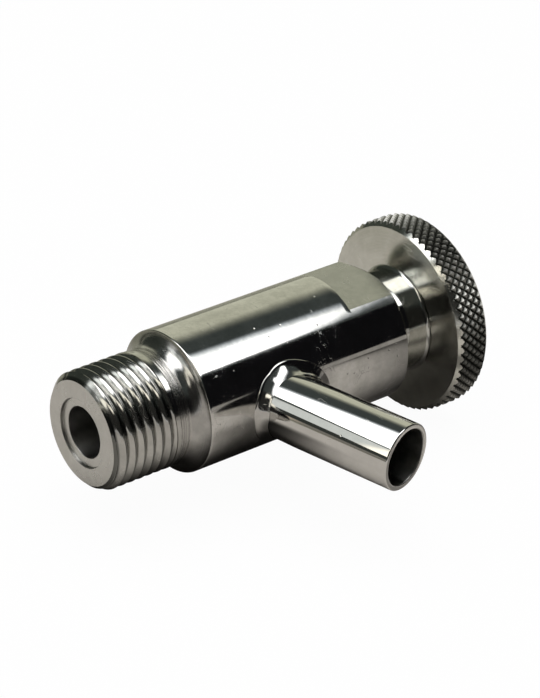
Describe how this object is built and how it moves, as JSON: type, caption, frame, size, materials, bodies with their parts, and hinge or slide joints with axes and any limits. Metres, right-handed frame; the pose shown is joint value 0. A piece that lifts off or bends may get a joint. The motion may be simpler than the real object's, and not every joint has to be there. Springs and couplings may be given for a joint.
{
  "type": "sampling tap",
  "caption": "Stainless sampling tap: threaded inlet, turned body with wrench flats, welded side outlet tube and a knurled screw-down knob.",
  "frame": {"origin": "on the body's axis, where the inlet thread ends and the plain neck before the shoulder starts", "axes": "+X along the body's axis from the inlet to the knob; the outlet tube lies in the XY plane and points to -Y, leaning towards +X; +Z is square to both and up as the tap lies on a bench"},
  "size_m": [0.075, 0.0556, 0.0356],
  "materials": {
    "body_steel": "turned and polished stainless steel",
    "tube_steel": "polished stainless tube",
    "weld_steel": "polished weld bead",
    "knob_steel": "turned stainless steel, knurled rim",
    "spindle_steel": "turned stainless steel",
    "screw_steel": "plain stainless steel",
    "nut_bronze": "turned bronze",
    "white_ptfe": "white fluoropolymer",
    "seal_rubber": "black seal rubber"
  },
  "bodies": {
    "tap_body": {"valve_body": "body_steel", "outlet_spout": "tube_steel", "spout_weld": "weld_steel", "gland_nut": "nut_bronze", "thrust_washer": "white_ptfe"},
    "plug_carriage": {"seat_plug": "white_ptfe"},
    "knob_and_spindle": {"spindle": "spindle_steel", "plug_screw": "screw_steel", "front_o_ring": "seal_rubber", "rear_o_ring": "seal_rubber", "hub_seal": "seal_rubber", "drive_pin": "screw_steel", "knob": "knob_steel", "knob_washer": "screw_steel", "knob_screw": "screw_steel"}
  },
  "joints": [
    {"name": "spindle_travel", "type": "slide", "parent": "tap_body", "child": "plug_carriage", "axis": [1, 0, 0], "range_m": [0, 0.003]},
    {"name": "knob_turn", "type": "hinge", "parent": "plug_carriage", "child": "knob_and_spindle", "pos_m": [0, 0, 0], "axis": [1, 0, 0], "range_deg": [0, 720]}
  ],
  "couplings": [
    {"joint": "spindle_travel", "follows": "knob_turn", "m_per_rad": 0.00023873}
  ]
}
